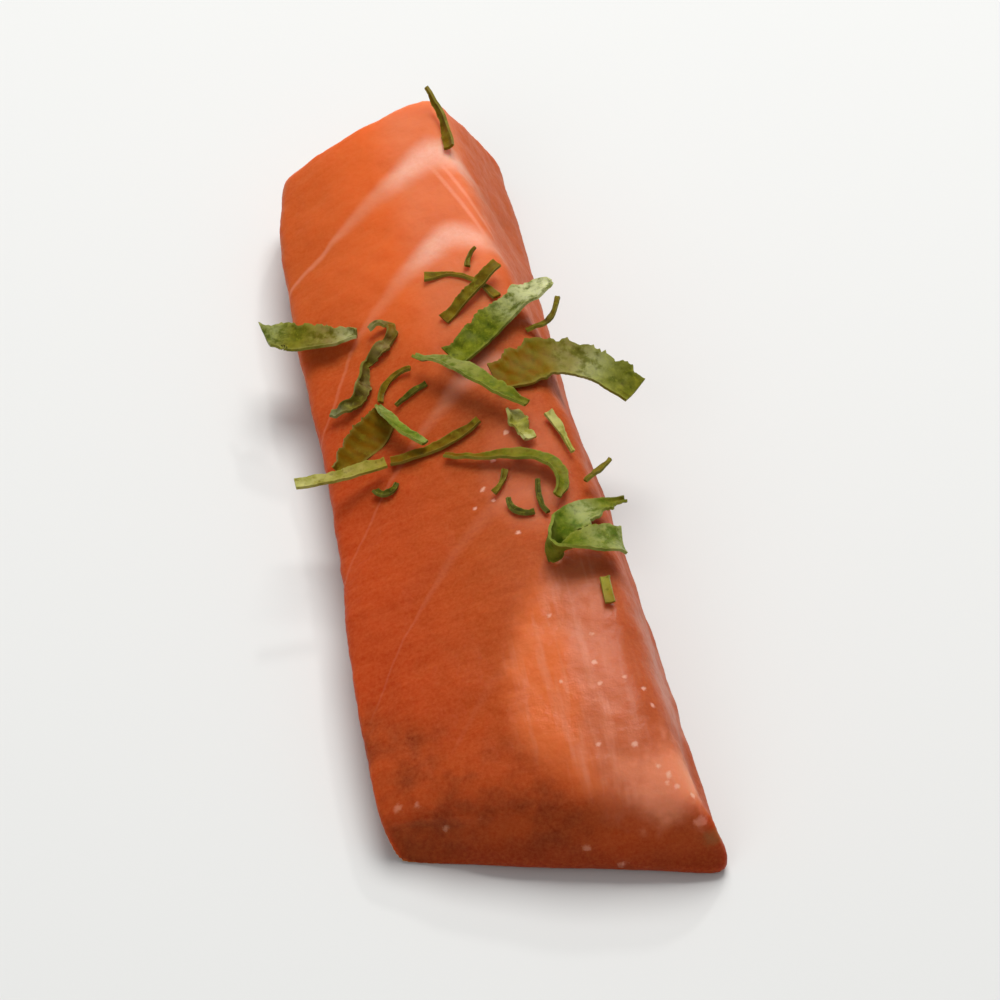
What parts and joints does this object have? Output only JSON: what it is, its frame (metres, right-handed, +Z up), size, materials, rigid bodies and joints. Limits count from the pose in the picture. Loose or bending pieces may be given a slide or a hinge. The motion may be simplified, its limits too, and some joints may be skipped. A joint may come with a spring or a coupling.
{
  "type": "salmon sashimi slice",
  "caption": "Wedge-shaped slice of raw salmon lying on its flat underside, with fine shreds of green leaf scattered over its ridge.",
  "frame": {"origin": "on the flat underside, below the middle of the slice", "axes": "+Y along the slice to its far, narrower end, +X across it to the steep side, +Z up"},
  "size_m": [0.0247, 0.0646, 0.0122],
  "materials": {
    "salmon_flesh": "wet, translucent raw fish with pale fat lines",
    "leaf_green": "fresh cut leaf, deep green, satin",
    "leaf_bright": "fresh cut leaf, bright green, satin",
    "leaf_pale": "pale yellow-green rib of the leaf, satin",
    "leaf_dark": "dark shrivelled leaf edge, matte",
    "leaf_brown": "thin stalks and leaf edges turned olive brown, matte"
  },
  "bodies": {
    "root": {"slice": "salmon_flesh", "flap_left": "leaf_green", "crinkled": "leaf_dark", "stick": "leaf_brown", "stem": "leaf_brown", "band_pale": "leaf_green", "curl_pale": "leaf_brown", "strip_long": "leaf_bright", "leaf_dark": "leaf_green", "loop_thin": "leaf_brown", "loop_short": "leaf_dark", "leaf_brown": "leaf_brown", "strip_green": "leaf_bright", "strip_straight": "leaf_pale", "strip_brown": "leaf_brown", "loop_small": "leaf_dark", "strip_arc": "leaf_bright", "bits_pale": "leaf_pale", "strip_pale": "leaf_pale", "fold": "leaf_bright", "stub": "leaf_pale", "stick_dark": "leaf_brown", "curl_tiny": "leaf_dark", "stem_tiny": "leaf_brown", "shred_tip": "leaf_brown", "twig": "leaf_brown", "strand_dark": "leaf_dark"}
  },
  "joints": []
}
